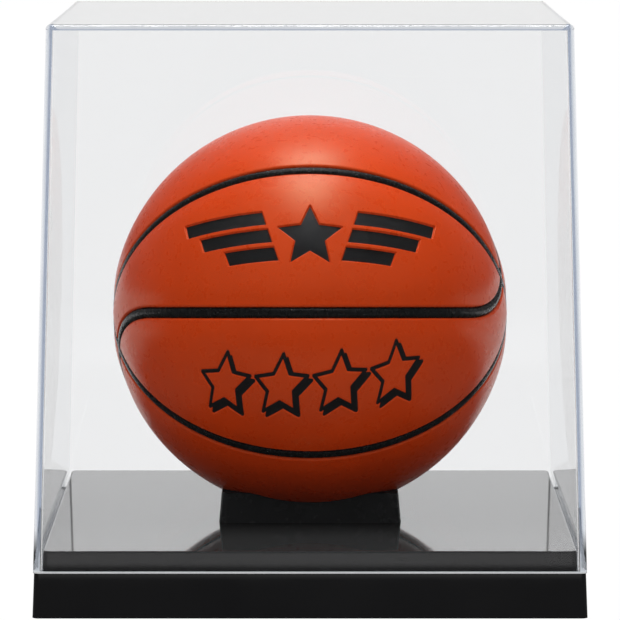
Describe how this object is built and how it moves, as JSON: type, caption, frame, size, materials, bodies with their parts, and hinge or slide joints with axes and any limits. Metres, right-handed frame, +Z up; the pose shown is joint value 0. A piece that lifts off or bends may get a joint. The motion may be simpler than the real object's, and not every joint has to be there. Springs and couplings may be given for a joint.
{
  "type": "collectible display case",
  "caption": "Clear lift-off cube cover on a black moulded base, with a dished square stand that carries a small basketball.",
  "frame": {"origin": "on the table, under the centre of the case", "axes": "+Z up, -Y towards the front of the case"},
  "size_m": [0.2006, 0.2006, 0.2148],
  "materials": {
    "base_black": "polished black styrene",
    "stand_black": "satin black styrene",
    "screw_steel": "zinc plated",
    "clear_plastic": "clear polished polystyrene",
    "foot_rubber": "soft matt rubber",
    "ball_orange": "smooth orange composite leather, satin",
    "seam_black": "black moulded rubber",
    "winding_nylon": "wound nylon thread",
    "bladder_rubber": "butyl rubber",
    "valve_rubber": "black rubber"
  },
  "bodies": {
    "base": {"base_shell": "base_black", "ball_stand": "stand_black", "stand_screws": "screw_steel", "foot_front_left": "foot_rubber", "foot_front_right": "foot_rubber", "foot_back_left": "foot_rubber", "foot_back_right": "foot_rubber"},
    "cover": {"clear_cover": "clear_plastic"},
    "ball": {"ball_bladder": "bladder_rubber", "ball_winding": "winding_nylon", "ball_carcass": "seam_black", "ball_valve": "valve_rubber", "panel_front_upper": "ball_orange", "panel_top_front": "ball_orange", "panel_top_back": "ball_orange", "panel_back_upper": "ball_orange", "panel_back_lower": "ball_orange", "panel_bottom_back": "ball_orange", "panel_bottom_front": "ball_orange", "panel_front_lower": "ball_orange"}
  },
  "joints": [
    {"name": "cover_lift", "type": "slide", "parent": "base", "child": "cover", "axis": [0, 0, 1], "range_m": [0, 0.2]},
    {"name": "ball_lift", "type": "slide", "parent": "base", "child": "ball", "axis": [0, 0, 1], "range_m": [0, 0.034]}
  ]
}
